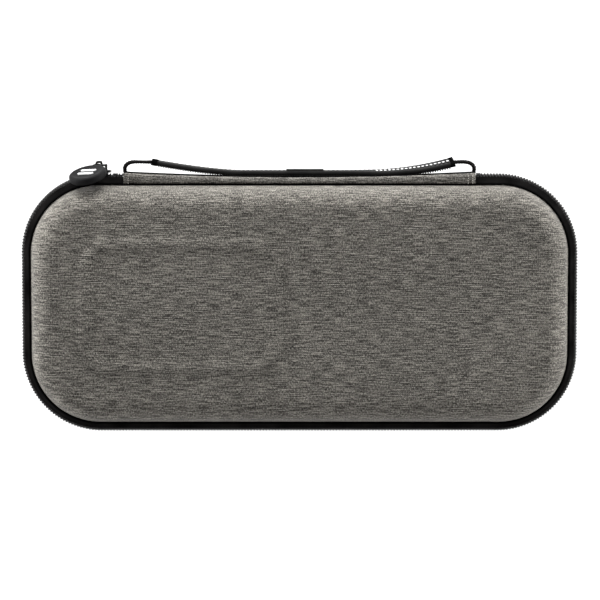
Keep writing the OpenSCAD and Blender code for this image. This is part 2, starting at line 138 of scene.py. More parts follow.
def verts_of(geom):
    return [g for g in geom if isinstance(g, bmesh.types.BMVert)]


def edges_of(geom):
    return [g for g in geom if isinstance(g, bmesh.types.BMEdge)]


def profile_of(geom):
    """The vertices and the edges between them, without the edges that lead back to the last profile."""
    verts = set(verts_of(geom))
    edges = [e for e in edges_of(geom) if all(v in verts for v in e.verts)]
    return list(verts) + edges


def extrude_on(bm, geom, step, count):
    """Extrudes the profile in geom along step, in count equal parts, and returns the last one."""
    for _ in range(count):
        geom = profile_of(bmesh.ops.extrude_edge_only(bm, edges=edges_of(geom))["geom"])
        bmesh.ops.translate(bm, verts=verts_of(geom), vec=step / count)
    return geom


def turn_corner(bm, geom, sx, sy, angle, steps):
    """Spins the edges in geom about one corner centre."""
    result = bmesh.ops.spin(
        bm, geom=geom, cent=(sx * run_x, sy * run_y, 0), axis=(0, 0, 1),
        angle=angle, steps=steps, use_merge=False,
    )
    return profile_of(result["geom_last"])


def close_end(bm, verts):
    """Fills the open end of a sweep whose last profile is verts."""
    edges = {e for v in verts for e in v.link_edges if all(w in verts for w in e.verts)}
    bmesh.ops.edgeloop_fill(bm, edges=list(edges))


def sweep_case(
    profile, closed, runs=(1, 1), corner_steps=18, x_from=None, x_to=None, start_turn=0.0, stop_turn=0.0
):
    """Sweeps a profile of (out, up) points round the case.

    With no x_from it goes all the way round. Otherwise it starts at x_from on the spine side, goes round
    the left end and the front, and stops at x_to on the spine side. start_turn skips part of the first
    corner, and stop_turn ends the sweep inside it.
    """
    bm = bmesh.new()
    ring = x_from is None
    start = run_x if ring else x_from
    if start_turn:
        start = -run_x
    place = Matrix.Translation((start, run_y, 0)) @ Matrix.Rotation(QUARTER + start_turn, 4, "Z")
    verts = [bm.verts.new(place @ Vector((out, 0, up))) for out, up in profile]
    pairs = list(zip(verts, verts[1:])) + ([(verts[-1], verts[0])] if closed else [])
    geom = verts + [bm.edges.new(pair) for pair in pairs]
    nx, ny = runs
    if start > -run_x:
        geom = extrude_on(bm, geom, Vector((-run_x - start, 0, 0)), nx if ring else 2)
    if stop_turn:
        geom = turn_corner(bm, geom, -1, 1, stop_turn, 3)
        close_end(bm, verts)
        close_end(bm, verts_of(geom))
        return tidy(bm)
    geom = turn_corner(bm, geom, -1, 1, QUARTER - start_turn, corner_steps)
    geom = extrude_on(bm, geom, Vector((0, -2 * run_y, 0)), ny)
    geom = turn_corner(bm, geom, -1, -1, QUARTER, corner_steps)
    geom = extrude_on(bm, geom, Vector((2 * run_x, 0, 0)), nx)
    geom = turn_corner(bm, geom, 1, -1, QUARTER, corner_steps)
    geom = extrude_on(bm, geom, Vector((0, 2 * run_y, 0)), ny)
    geom = turn_corner(bm, geom, 1, 1, QUARTER, corner_steps)
    if not ring:
        geom = extrude_on(bm, geom, Vector((x_to - run_x, 0, 0)), 2)
        if closed:
            close_end(bm, verts)
            close_end(bm, verts_of(geom))
    return tidy(bm)


def join_part(bm, part):
    """Adds a finished bmesh to another one and frees it."""
    mesh = bpy.data.meshes.new("part")
    part.to_mesh(mesh)
    part.free()
    bm.from_mesh(mesh)
    bpy.data.meshes.remove(mesh)


def add_copy(bm, shape, matrix):
    """Adds one copy of a small mesh, moved by matrix."""
    first = len(bm.verts)
    bm.from_mesh(shape)
    bm.verts.ensure_lookup_table()
    bmesh.ops.transform(bm, matrix=matrix, verts=bm.verts[first:])


def bead_mesh(name, size, u=8, v=6):
    """A small rounded bead, the unit of stitches and teeth."""
    bm = bmesh.new()
    bmesh.ops.create_uvsphere(bm, u_segments=u, v_segments=v, radius=0.5)
    bmesh.ops.scale(bm, vec=size, verts=bm.verts)
    mesh = bpy.data.meshes.new(name)
    bm.to_mesh(mesh)
    bm.free()
    return mesh


# Materials


class Finish:
    """A node material under construction, with short calls for the nodes that it uses."""

    def __init__(self, name, roughness=0.8, metallic=0.0, sheen=0.0, specular=0.5):
        self.material = bpy.data.materials.new(name)
        self.material.use_nodes = True
        self.tree = self.material.node_tree
        self.shader = self.tree.nodes["Principled BSDF"]
        self.shader.inputs["Roughness"].default_value = roughness
        self.shader.inputs["Metallic"].default_value = metallic
        self.shader.inputs["Sheen Weight"].default_value = sheen
        self.shader.inputs["Specular IOR Level"].default_value = specular

    def add(self, kind, **settings):
        node = self.tree.nodes.new(kind)
        for key, value in settings.items():
            setattr(node, key, value)
        return node

    def join(self, source, target):
        self.tree.links.new(source, target)

    def place(self, scale, uv=None, turn=0.0):
        """Coordinates: the piece's own map, or its object coordinates, scaled per axis."""
        source = self.add("ShaderNodeUVMap", uv_map=uv) if uv else self.add("ShaderNodeTexCoord")
        mapping = self.add("ShaderNodeMapping")
        mapping.inputs["Scale"].default_value = scale
        mapping.inputs["Rotation"].default_value = (0, 0, turn)
        self.join(source.outputs["UV" if uv else "Object"], mapping.inputs["Vector"])
        return mapping.outputs["Vector"]

    def noise(self, vector, detail=2.0, roughness=0.5):
        node = self.add("ShaderNodeTexNoise")
        node.inputs["Scale"].default_value = 1.0
        node.inputs["Detail"].default_value = detail
        node.inputs["Roughness"].default_value = roughness
        self.join(vector, node.inputs["Vector"])
        return node.outputs["Fac"]

    def wave(self, vector, direction):
        node = self.add("ShaderNodeTexWave", bands_direction=direction)
        node.inputs["Scale"].default_value = 1.0
        self.join(vector, node.inputs["Vector"])
        return node.outputs["Fac"]

    def math(self, operation, a, b):
        node = self.add("ShaderNodeMath", operation=operation)
        for value, socket in ((a, node.inputs[0]), (b, node.inputs[1])):
            if isinstance(value, (int, float)):
                socket.default_value = value
            else:
                self.join(value, socket)
        return node.outputs[0]

    def ramp(self, factor, *stops):
        """A colour ramp of (position, colour) stops."""
        node = self.add("ShaderNodeValToRGB")
        elements = node.color_ramp.elements
        while len(elements) < len(stops):
            elements.new(0.5)
        for element, (position, colour) in zip(elements, stops):
            element.position = position
            element.color = (*colour, 1)
        self.join(factor, node.inputs["Fac"])
        return node.outputs["Color"]

    def paint(self, colour):
        self.join(colour, self.shader.inputs["Base Color"])

    def bump(self, height, distance, strength=1.0):
        node = self.add("ShaderNodeBump")
        node.inputs["Distance"].default_value = distance
        node.inputs["Strength"].default_value = strength
        self.join(height, node.inputs["Height"])
        self.join(node.outputs["Normal"], self.shader.inputs["Normal"])

    def rough(self, factor, low, high):
        node = self.add("ShaderNodeMapRange")
        node.inputs["To Min"].default_value = low
        node.inputs["To Max"].default_value = high
        self.join(factor, node.inputs["Value"])
        self.join(node.outputs["Result"], self.shader.inputs["Roughness"])


# Yarn sizes as repeats for each metre: slubs run long in x and thin in y
SLUB_X, SLUB_Y = 135, 2500
YARN_X, YARN_Y = 1100, 2500
WARP_X, WARP_Y = 2500, 900
BROAD_X, BROAD_Y = 14, 22
CROSSINGS = 330

# How much each adds to the cloth's tone, and the tones at which it is dark, middling and light
SLUB_SHARE, YARN_SHARE, WARP_SHARE, BROAD_SHARE = 0.42, 0.27, 0.27, 0.04
TONE_STOPS = (0.43, 0.50, 0.575)
SLUB_RELIEF = 1.4


def heather_finish(name, dark, middle, light):
    """Woven melange cloth: thin slubs along the length, fine warp across, and a plain weave's relief."""
    cloth = Finish(name, roughness=0.92, sheen=0.06, specular=0.2)
    # The turn comes after the scaling, so no column of the noise's own grid shows across the yarns
    slub = cloth.noise(cloth.place((SLUB_X, SLUB_Y, 1), "weave", math.pi / 4), roughness=0.6)
    yarn = cloth.noise(cloth.place((YARN_X, YARN_Y, 1), "weave"), detail=1.5)
    warp = cloth.noise(cloth.place((WARP_X, WARP_Y, 1), "weave"), detail=1.5)
    broad = cloth.noise(cloth.place((BROAD_X, BROAD_Y, 1), "weave"))
    tone = cloth.math("MULTIPLY", slub, SLUB_SHARE)
    for part, share in ((yarn, YARN_SHARE), (warp, WARP_SHARE), (broad, BROAD_SHARE)):
        tone = cloth.math("ADD", tone, cloth.math("MULTIPLY", part, share))
    cloth.paint(cloth.ramp(tone, *zip(TONE_STOPS, (dark, middle, light))))
    over, under = (cloth.wave(cloth.place((CROSSINGS, CROSSINGS, 1), "weave"), way) for way in "XY")
    crossing = cloth.math("MULTIPLY", over, under)
    relief = cloth.math("ADD", crossing, cloth.math("MULTIPLY", slub, SLUB_RELIEF))
    cloth.bump(relief, 0.00022, 0.7)
    cloth.rough(slub, 0.97, 0.82)
    return cloth.material


def webbing_finish(name, low, high, pitch=900, gloss=(0.7, 0.5), specular=0.0):
    """Tight black tape: a fine twill with a faint worn tone."""
    tape = Finish(name, roughness=0.75, specular=specular)
    twill = tape.wave(tape.place((pitch, pitch, pitch), turn=0.6), "DIAGONAL")
    worn = tape.noise(tape.place((90, 90, 90)), detail=4)
    tape.paint(tape.ramp(worn, (0.35, low), (0.7, high)))
    tape.bump(twill, 0.00008, 0.6)
    tape.rough(worn, gloss[0], gloss[1])
    return tape.material


def felt_finish(name, low, high):
    """Short brushed pile."""
    felt = Finish(name, roughness=0.95, sheen=0.12, specular=0.2)
    pile = felt.noise(felt.place((1600, 1600, 1600)), detail=2)
    patch = felt.noise(felt.place((60, 60, 60)), detail=3)
    tone = felt.math("ADD", felt.math("MULTIPLY", pile, 0.5), felt.math("MULTIPLY", patch, 0.5))
    felt.paint(felt.ramp(tone, (0.35, low), (0.65, high)))
    felt.bump(pile, 0.00025, 0.7)
    return felt.material


def moulded_finish(name, low, high, grain=2500, gloss=(0.55, 0.4), metallic=0.0, specular=0.25):
    """Moulded or enamelled surface with a fine grain and a slight change of tone."""
    skin = Finish(name, roughness=0.5, metallic=metallic, specular=specular)
    fine = skin.noise(skin.place((grain, grain, grain)), detail=2)
    broad = skin.noise(skin.place((70, 70, 70)), detail=3)
    skin.paint(skin.ramp(broad, (0.3, low), (0.7, high)))
    skin.bump(fine, 0.00003, 0.5)
    skin.rough(broad, gloss[0], gloss[1])
    return skin.material


def grey(level):
    return (level, level, level)


HEATHER = heather_finish("grey_heather", (0.024, 0.022, 0.020), (0.109, 0.102, 0.090), (0.315, 0.297, 0.262))
SPINE_CLOTH = heather_finish(
    "spine_heather", (0.026, 0.024, 0.022), (0.112, 0.106, 0.096), (0.27, 0.256, 0.232)
)
TAPE = webbing_finish("zipper_tape", (0.0025, 0.0024, 0.0024), (0.0085, 0.0080, 0.0078))
COIL = moulded_finish("nylon_coil", grey(0.006), (0.022, 0.021, 0.020), gloss=(0.42, 0.3))
PIPING = webbing_finish("piping_cloth", grey(0.0015), grey(0.0045))
STRAP = webbing_finish(
    "strap_coating", grey(0.007), (0.017, 0.0165, 0.016), pitch=700, gloss=(0.68, 0.5), specular=0.05
)
CORD = webbing_finish(
    "braid", grey(0.005), (0.018, 0.017, 0.016), pitch=1500, gloss=(0.66, 0.5), specular=0.06
)
ENAMEL = moulded_finish(
    "black_enamel", (0.012, 0.012, 0.013), (0.035, 0.035, 0.036), gloss=(0.35, 0.22), metallic=0.6
)
RUBBER = moulded_finish(
    "pull_rubber", (0.0065, 0.0065, 0.0068), (0.012, 0.012, 0.0125),
    grain=3500, gloss=(0.6, 0.48), specular=0.04,
)
WHITE = moulded_finish("white_print", grey(0.70), grey(0.82), gloss=(0.5, 0.4))
THREAD = moulded_finish("pale_thread", (0.34, 0.32, 0.29), (0.55, 0.53, 0.49), grain=4000, gloss=(0.8, 0.7))
DARK_THREAD = moulded_finish("dark_thread", grey(0.03), grey(0.06), grain=4000, gloss=(0.7, 0.6))
FELT = felt_finish("inner_felt", (0.021, 0.021, 0.022), (0.038, 0.038, 0.040))
CARD_CLOTH = webbing_finish(
    "elastic_cloth", (0.013, 0.013, 0.014), (0.020, 0.020, 0.021), pitch=500, specular=0.1
)
NET = moulded_finish("net_thread", grey(0.010), grey(0.022), gloss=(0.7, 0.6))

# Camera, lights and floor

view_tilt = math.radians(5)
view_target = Vector((0.23, 1.05, 23)) * MM
view_distance = 1.2
view_width = 281.1 * MM
sensor = 36

camera = bpy.data.objects.new("camera", bpy.data.cameras.new("camera"))
camera.data.sensor_width = sensor
camera.data.lens = sensor * view_distance / view_width
camera.location = view_target + view_distance * Vector((0, math.sin(view_tilt), math.cos(view_tilt)))
camera.rotation_euler = (-view_tilt, 0, 0)
bpy.context.scene.collection.objects.link(camera)
bpy.context.scene.camera = camera
bpy.context.scene.view_settings.view_transform = "Standard"


def soft_light(name, place, size, power):
    """An area light that looks at the case."""
    lamp = bpy.data.lights.new(name, "AREA")
    lamp.shape = "RECTANGLE"
    lamp.size, lamp.size_y = size
    lamp.energy = power
    holder = bpy.data.objects.new(name, lamp)
    holder.location = place
    holder.rotation_euler = (Vector(place) - view_target).to_track_quat("Z", "Y").to_euler()
    bpy.context.scene.collection.objects.link(holder)


soft_light("key_light", (-0.1, 1.25, 0.2), (1.5, 0.4), 36)
soft_light("top_light", (-0.3, 0, 1.5), (1.0, 0.8), 3.2)
soft_light("left_light", (-1.2, 0.1, 0.16), (0.9, 0.22), 20)
soft_light("right_light", (1.2, 0.1, 0.16), (0.9, 0.22), 19)
soft_light("front_light", (0, -1.2, 0.2), (0.9, 0.3), 5)


def seen_white(tree, surface, strength):
    """Adds white, for the eye and in reflections only, to a surface shader."""
    path = tree.nodes.new("ShaderNodeLightPath")
    reach = tree.nodes.new("ShaderNodeMath")
    reach.operation = "MAXIMUM"
    tree.links.new(path.outputs["Is Camera Ray"], reach.inputs[0])
    tree.links.new(path.outputs["Is Glossy Ray"], reach.inputs[1])
    every = tree.nodes.new("ShaderNodeMath")
    every.operation = "MAXIMUM"
    tree.links.new(reach.outputs[0], every.inputs[0])
    tree.links.new(path.outputs["Is Transmission Ray"], every.inputs[1])
    scaled = tree.nodes.new("ShaderNodeMath")
    scaled.operation = "MULTIPLY"
    scaled.inputs[1].default_value = strength
    tree.links.new(every.outputs[0], scaled.inputs[0])
    glow = tree.nodes.new("ShaderNodeEmission")
    tree.links.new(scaled.outputs[0], glow.inputs["Strength"])
    added = tree.nodes.new("ShaderNodeAddShader")
    tree.links.new(surface, added.inputs[0])
    tree.links.new(glow.outputs[0], added.inputs[1])
    return added.outputs[0]


world = bpy.data.worlds.new("studio")
bpy.context.scene.world = world
world.use_nodes = True
sky = world.node_tree.nodes["Background"]
sky.inputs["Color"].default_value = (1, 1, 1, 1)
sky.inputs["Strength"].default_value = 0.2

paper = bpy.data.materials.new("white_paper")
paper.use_nodes = True
paper_shader = paper.node_tree.nodes["Principled BSDF"]
paper_shader.inputs["Base Color"].default_value = (0.8, 0.8, 0.8, 1)
paper_shader.inputs["Roughness"].default_value = 0.9
paper.node_tree.links.new(
    seen_white(paper.node_tree, paper_shader.outputs[0], 0.75),
    paper.node_tree.nodes["Material Output"].inputs["Surface"],
)

floor_bm = bmesh.new()
bmesh.ops.create_grid(floor_bm, x_segments=1, y_segments=1, size=4)
floor_mesh = bpy.data.meshes.new("floor")
floor_bm.to_mesh(floor_mesh)
floor_bm.free()
floor_mesh.materials.append(paper)
floor = bpy.data.objects.new("floor", floor_mesh)
bpy.context.scene.collection.objects.link(floor)

# The moulded covers

CELL = 1.25 * MM
FLAT_DEPTH = 1e-7
cover_nx = round(2 * run_x / CELL)
cover_ny = round(2 * run_y / CELL)
flat_r = face_r - edge_r
face_rings = 16
edge_steps = 14
wall_steps = 4
crown_h = 0.5 * MM
frame_x = -55 * MM
frame_half = mm_size(46, 31, 0)
frame_r = 14 * MM
frame_line = 5 * MM
frame_h = 0.55 * MM
frame_shoulder = 1.1 * MM


def cloth_place(co, depth):
    """Where a point of a cover lies on the uncut cloth; depth is its distance behind the face."""
    out, away, near = wall_distance(co.x, co.y)
    if out <= flat_r or depth <= FLAT_DEPTH:
        along = out
    elif depth < edge_r:
        along = flat_r + edge_r * math.atan2(out - flat_r, edge_r - depth)
    else:
        along = flat_r + edge_r * QUARTER + depth - edge_r
    return near + away * along


def frame_rise(x, y):
    """Height of the soft raised frame at a point of the lid's face."""
    dx = abs(x - frame_x) - (frame_half.x - frame_r)
    dy = abs(y) - (frame_half.y - frame_r)
    outside = math.hypot(max(dx, 0), max(dy, 0)) + min(max(dx, dy), 0) - frame_r
    edge = min(-outside, outside + frame_line) / frame_shoulder + 0.5
    t = max(0.0, min(1.0, edge))
    return frame_h * t * t * (3 - 2 * t)


def cover_bmesh(lid):
    """The outer skin of one cover, with its place on the cloth kept as a map."""
    wall = [
        (face_r + draft * i / wall_steps, case_top - edge_r - (rim_z - edge_r) * i / wall_steps)
        for i in range(1, wall_steps + 1)
    ]
    profile = [(flat_r * i / face_rings, case_top) for i in range(face_rings)]
    profile += arc_points(flat_r, case_top - edge_r, edge_r, 90, 0, edge_steps) + wall
    bm = sweep_case(profile, False, runs=(cover_nx, cover_ny), corner_steps=26)
    middle = bmesh.ops.create_grid(bm, x_segments=cover_nx, y_segments=cover_ny, size=1)["verts"]
    bmesh.ops.transform(
        bm, matrix=Matrix.Translation((0, 0, case_top)) @ Matrix.Diagonal((run_x, run_y, 1, 1)), verts=middle
    )
    tidy(bm, 5e-6)
    place = {v: cloth_place(v.co, case_top - v.co.z) for v in bm.verts}
    weave = bm.loops.layers.uv.new("weave")
    for face in bm.faces:
        for loop in face.loops:
            loop[weave].uv = place[loop.vert]
    for v in bm.verts:
        if not lid or v.co.z < case_top - 1e-6:
            continue
        across = max(0.0, 1 - (v.co.x / (run_x + flat_r)) ** 2)
        up = max(0.0, 1 - (v.co.y / (run_y + flat_r)) ** 2)
        v.co.z += crown_h * across * up + frame_rise(v.co.x, v.co.y)
    if not lid:
        bmesh.ops.transform(
            bm, matrix=Matrix.Translation((0, 0, case_top)) @ Matrix.Diagonal((1, 1, -1, 1)), verts=bm.verts
        )
        bmesh.ops.recalc_face_normals(bm, faces=bm.faces)
    return bm


def add_cover(name, lid, body, node):
    piece = make_piece(name, cover_bmesh(lid), HEATHER, 180)
    piece.data.materials.append(FELT)
    wall = piece.modifiers.new("wall", "SOLIDIFY")
    wall.thickness = shell_t
    wall.offset = -1
    wall.use_even_offset = True
    wall.material_offset = 1
    wall.material_offset_rim = 0
    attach(piece, body)
    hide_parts(node)


add_cover("lid_cover", True, "lid", "lid_shell")
add_cover("base_cover", False, "base", "base_shell")


# The zipper


def smooth_line(points, per=4):
    """More points on a Catmull-Rom curve through the given ones, which may be 2D or 3D."""
    pts = [Vector(p) for p in points]
    pts = [2 * pts[0] - pts[1]] + pts + [2 * pts[-1] - pts[-2]]
    line = []
    for a, b, c, d in zip(pts, pts[1:], pts[2:], pts[3:]):
        for i in range(per):
            t = i / per
            second = (2 * a - 5 * b + 4 * c - d) * t**2
            third = (3 * b - 3 * c + d - a) * t**3
            line.append(0.5 * (2 * b + (c - a) * t + second + third))
    return line + [pts[-2]]


end_bulge = 0.35


def strip_profile(line, thickness):
    """The closed outline of a strip of one thickness along a 2D line, with a blunt point at each end."""
    left, right = [], []
    for i, p in enumerate(line):
        along = (line[min(i + 1, len(line) - 1)] - line[max(i - 1, 0)]).normalized()
        side = Vector((-along.y, along.x)) * thickness / 2
        left.append(p + side)
        right.append(p - side)
    first = line[0] + (line[0] - line[1]).normalized() * thickness * end_bulge
    last = line[-1] + (line[-1] - line[-2]).normalized() * thickness * end_bulge
    return [first] + left + [last] + right[::-1]


coil_r = zip_hi.x - run_x
coil_back = 1.6 * MM
tape_t = 1 * MM
tape_r = coil_r - coil_back - tape_t / 2
coil_bottom = coil_lo.z
spine_gap = 0.3 * MM
park_turn = math.atan(5.9 * MM / corner_r)
coil_right = 82.4 * MM
coil_left = -coil_right
zip_corner_steps = 24

tape_path = [
    (wall_r - 1.3 * MM, rim_z + 0.55 * MM),
    (wall_r + 0.4 * MM, rim_z + 0.75 * MM),
    (wall_r + 1.6 * MM, rim_z + 2.1 * MM),
    (tape_r - 0.35 * MM, coil_bottom - 1.6 * MM),
    (tape_r, coil_bottom),
    (tape_r, coil_bottom + 2.7 * MM),
]

# The cord that the coil's turns are wound round, drawn in mm about its middle
core_profile = [
    (coil_r - 1.15 * MM + out * MM, coil_bottom + 1.55 * MM + up * MM)
    for out, up in ((-0.5, -1.5), (0.15, -1.5), (0.45, -1.1), (0.45, 1.1), (0.15, 1.4), (-0.5, 1.4))
]


def upright(profile, lid):
    """A profile drawn for the base, or turned over for the lid."""
    return [(u, case_top - z if lid else z) for u, z in profile]


def add_tape(name, lid, body, node):
    full = upright(strip_profile(smooth_line(tape_path), tape_t), lid)
    low = upright(strip_profile(smooth_line(tape_path[:4]), tape_t), lid)
    start = -spine_x - spine_gap
    bm = sweep_case(
        full, True, corner_steps=zip_corner_steps,
        x_from=start, x_to=-start, start_turn=0.0 if lid else park_turn,
    )
    if not lid:
        # From the spine to just past the parked slider, the base's tape has only its low part
        verts = [bm.verts.new((start, run_y + u, z)) for u, z in low]
        edges = [bm.edges.new(pair) for pair in zip(verts, verts[1:] + verts[:1])]
        last = extrude_on(bm, verts + edges, Vector((coil_left - start, 0, 0)), 1)
        close_end(bm, verts)
        close_end(bm, verts_of(last))
        join_part(bm, sweep_case(low, True, x_from=coil_left, stop_turn=park_turn))
    bmesh.ops.recalc_face_normals(bm, faces=bm.faces)
    piece = make_piece(name, bm, TAPE, 60)
    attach(piece, body)
    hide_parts(node)


def round_the_case(out, x_from, x_to, pitch, start_turn=0.0):
    """Places at a regular pitch along the zipper's line: each a point and the angle of the way out."""
    legs = [0.0 if start_turn else run_x + x_from, 2 * run_y, 2 * run_x, 2 * run_y, run_x - x_to]
    centres = [Vector((sx * run_x, sy * run_y)) for sx, sy in ((-1, 1), (-1, -1), (1, -1), (1, 1))]
    start = Vector((x_from, run_y))
    s = pitch / 2
    places = []
    for k, leg in enumerate(legs):
        angle = (k + 1) * QUARTER
        outward = Vector((math.cos(angle), math.sin(angle)))
        heading = Vector((-outward.y, outward.x))
        while s < leg:
            places.append((start + heading * s + outward * out, angle))
            s += pitch
        s -= leg
        if k == 0 and start_turn:
            s = out * start_turn + pitch / 2
        if k < len(centres):
            while s < out * QUARTER:
                a = angle + s / out
                places.append((centres[k] + out * Vector((math.cos(a), math.sin(a))), a))
                s += pitch
            s -= out * QUARTER
            start = centres[k]
    return places


PITCH = 1.43 * MM
tooth_size = mm_size(1.5, 1.02, 3.7)
coil_stitch_size = mm_size(0.45, 1.1, 0.4)
tooth_tilt = math.radians(9)


def add_coil(name, lid, body, node):
    """One half of the coil: a bead for each turn, whose noses lock between those of the other half."""
    bead = bead_mesh("tooth", tooth_size)
    stitch = bead_mesh("coil_stitch", coil_stitch_size, 6, 4)
    turn = 0.0 if lid else park_turn
    middle = coil_bottom + 1.75 * MM
    z = case_top - middle if lid else middle
    tilt = Matrix.Rotation(tooth_tilt if lid else -tooth_tilt, 4, "X")
    bm = sweep_case(
        upright(core_profile, lid), True, corner_steps=zip_corner_steps,
        x_from=coil_left, x_to=coil_right, start_turn=turn,
    )
    radius = coil_r - tooth_size.x / 2
    offset = PITCH / 2 if lid else 0.0
    for spot, angle in round_the_case(radius, coil_left + offset, coil_right + offset, PITCH, turn):
        add_copy(bm, bead, Matrix.Translation((spot.x, spot.y, z)) @ Matrix.Rotation(angle, 4, "Z") @ tilt)
    low = coil_bottom - 0.45 * MM
    low = case_top - low if lid else low
    for spot, angle in round_the_case(tape_r + tape_t / 2, coil_left, coil_right, PITCH, turn):
        add_copy(bm, stitch, Matrix.Translation((spot.x, spot.y, low)) @ Matrix.Rotation(angle, 4, "Z"))
    piece = make_piece(name, bm, COIL, 180)
    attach(piece, body)
    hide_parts(node)


piping_r = 0.55 * MM
piping_drop = 0.75 * MM


def add_piping(name, lid, body, node):
    line = arc_points(wall_r + piping_r, rim_z - piping_drop, piping_r, 0, 330, 11)
    bm = sweep_case(upright(line, lid), True, corner_steps=zip_corner_steps)
    piece = make_piece(name, bm, PIPING, 180)
    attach(piece, body)
    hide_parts(node)


add_tape("lid_tape", True, "lid", "lid_zipper_tape")
add_tape("base_tape", False, "base", "base_zipper_tape")
add_coil("lid_coil", True, "lid", "lid_zipper_coil")
add_coil("base_coil", False, "base", "base_zipper_coil")
add_piping("lid_cord_piping", True, "lid", "lid_piping")
add_piping("base_cord_piping", False, "base", "base_piping")

# The spine's cloth

strip_t = 1.1 * MM
strip_cells_x, strip_per = 120, 4
wall_y = run_y + wall_r
pucker = 0.22 * MM
gather_run = 18 * MM
end_seam_in = 3.4 * MM
end_seam_w = 1 * MM
end_seam_deep = 0.35 * MM
fold_share = 0.55
strip_map_start = 0.4


def spine_y(x):
    """The line of the spine's outer face, which hangs in at its middle."""
    return spine_end_y - spine_sag * (1 - (x / spine_x) ** 2)


def strip_line(x):
    """The cloth's way from a shell's wall out, round the fold and down to the middle, as (y, z)."""
    y = spine_y(x)
    top = lid_z + 1.25 * MM
    points = [
        (wall_y + 0.5 * MM, top - 1.3 * MM),
        (wall_y + 0.55 * MM, top - 0.35 * MM),
        (wall_y + 1.15 * MM, top + 0.08 * MM),
        (y - 1.5 * MM, top + 0.1 * MM),
        (y - 0.35 * MM, top - 0.45 * MM),
        (y, lid_z - 0.6 * MM),
        (y, lid_z - 4 * MM),
        (y, mid_z + 0.02 * MM),
    ]
    return smooth_line(points, strip_per)


def strip_bmesh(lid):
    """The strip's cloth as one sheet, puckered at its ends, with its place before folding kept as a map."""
    rows = len(strip_line(0)) - 1
    bm = bmesh.new()
    bmesh.ops.create_grid(bm, x_segments=strip_cells_x, y_segments=rows, size=0.5)
    weave = bm.loops.layers.uv.new("weave")
    lines = {}
    flat = {}
    for v in bm.verts:
        column = round((v.co.x + 0.5) * strip_cells_x)
        row = round((v.co.y + 0.5) * rows)
        x = spine_x * (2 * column / strip_cells_x - 1)
        line = lines.setdefault(column, strip_line(x))
        y, z = line[row]
        flat[v] = Vector((x, strip_map_start + sum((line[i + 1] - line[i]).length for i in range(row))))
        inset = spine_x - abs(x)
        near_end = 1 - min(1.0, inset / gather_run)
        swell = noise.noise(Vector((x * 70, row * 0.14, SEED))) * pucker * (0.7 + 1.2 * near_end)
        seam = math.exp(-(((inset - end_seam_in) / end_seam_w) ** 2)) * end_seam_deep
        loose = math.sin(math.pi * min(1.0, row / (rows * fold_share)))
        v.co = (x, y, z + (swell - seam) * loose if row < rows * fold_share else z)
    for face in bm.faces:
        for loop in face.loops:
            loop[weave].uv = flat[loop.vert]
    bmesh.ops.recalc_face_normals(bm, faces=bm.faces)
    if sum(face.normal.z for face in bm.faces) < 0:
        bmesh.ops.reverse_faces(bm, faces=bm.faces)
    if not lid:
        mirror = Matrix.Translation((0, 0, case_top)) @ Matrix.Diagonal((1, 1, -1, 1))
        bmesh.ops.transform(bm, matrix=mirror, verts=bm.verts)
        bmesh.ops.reverse_faces(bm, faces=bm.faces)
    return bm


def apply_modifiers(piece):
    """Makes a piece's modifiers part of its mesh."""
    bpy.context.view_layer.update()
    depsgraph = bpy.context.evaluated_depsgraph_get()
    mesh = bpy.data.meshes.new_from_object(piece.evaluated_get(depsgraph))
    piece.modifiers.clear()
    old = piece.data
    piece.data = mesh
    bpy.data.meshes.remove(old)
    mesh.name = piece.name


def add_strip(name, lid, nodes):
    """The strip is heather cloth up to the fold and black webbing below it; that black is partly painted
    shade along the spine's outer edge.
    """
    piece = make_piece(name, strip_bmesh(lid), SPINE_CLOTH, 50)
    piece.data.materials.append(TAPE)
    # Below the fold the faces take the black webbing, whose black also paints the shade on the spine's outer
    # edge
    for face in piece.data.polygons:
        if abs(face.center.z - mid_z) < lid_z - mid_z + 0.3 * MM:
            face.material_index = 1
    wall = piece.modifiers.new("wall", "SOLIDIFY")
    wall.thickness = strip_t
    wall.offset = -1
    wall.material_offset_rim = 0
    apply_modifiers(piece)
    start = Vector((0, spine_end_y - 1.7 * MM, lid_z + 1.5 * MM))
    end = Vector((0, spine_end_y, lid_z - 0.7 * MM))
    if not lid:
        start.z, end.z = case_top - start.z, case_top - end.z
    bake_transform(piece)
    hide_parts(*nodes)


def seam_line(name, points, material, size, pitch, up=Vector((0, 0, 1))):
    """A row of stitches along a 3D line, each a small bead that lies along it."""
    bead = bead_mesh(name + "_bead", Vector(size), 6, 4)
    bm = bmesh.new()
    carry = pitch / 2
    for a, b in zip(points, points[1:]):
        length = (b - a).length
        along = (b - a).normalized()
        side = up.cross(along).normalized()
        turn = Matrix((along, side, along.cross(side))).transposed().to_4x4()
        s = carry
        while s < length:
            add_copy(bm, bead, Matrix.Translation(a + along * s) @ turn)
            s += pitch
        carry = s - length
    piece = make_piece(name, bm, material, 180)
    bpy.data.meshes.remove(bead)
    return piece


add_strip("spine_cloth_upper", True, ["lid_hinge_flap", "spine_panel"])
add_strip("spine_cloth_lower", False, ["base_hinge_flap"])

# Pale stitches across the strip's top, one row near its left end and two near its right
stitch_proud = 0.24 * MM
for row_name, x in (
    ("left_1", 2.2 * MM - spine_x),
    ("right_1", spine_x - 1.3 * MM),
    ("right_2", spine_x - 3.4 * MM),
):
    top_part = [Vector((x, y, z + stitch_proud)) for y, z in strip_line(x)[strip_per : strip_per * 4]]
    stitches = seam_line(
        f"spine_stitches_{row_name}", top_part, THREAD, mm_size(0.8, 0.5, 0.4), 1.1 * MM,
        Vector((1, 0, 0)),
    )
    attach(stitches, "lid")


# The handle

strap_lo, strap_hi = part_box("handle_strap")
strap_half = (strap_hi.x - strap_lo.x) / 2
strap_mid_x = (strap_hi.x + strap_lo.x) / 2
strap_t = 2.3 * MM
strap_w = strap_hi.z - strap_lo.z
strap_seat = spine_y(0) + 0.5 * MM
strap_round = 0.9 * MM
strap_twist = math.radians(9)
cord_r = 0.9 * MM

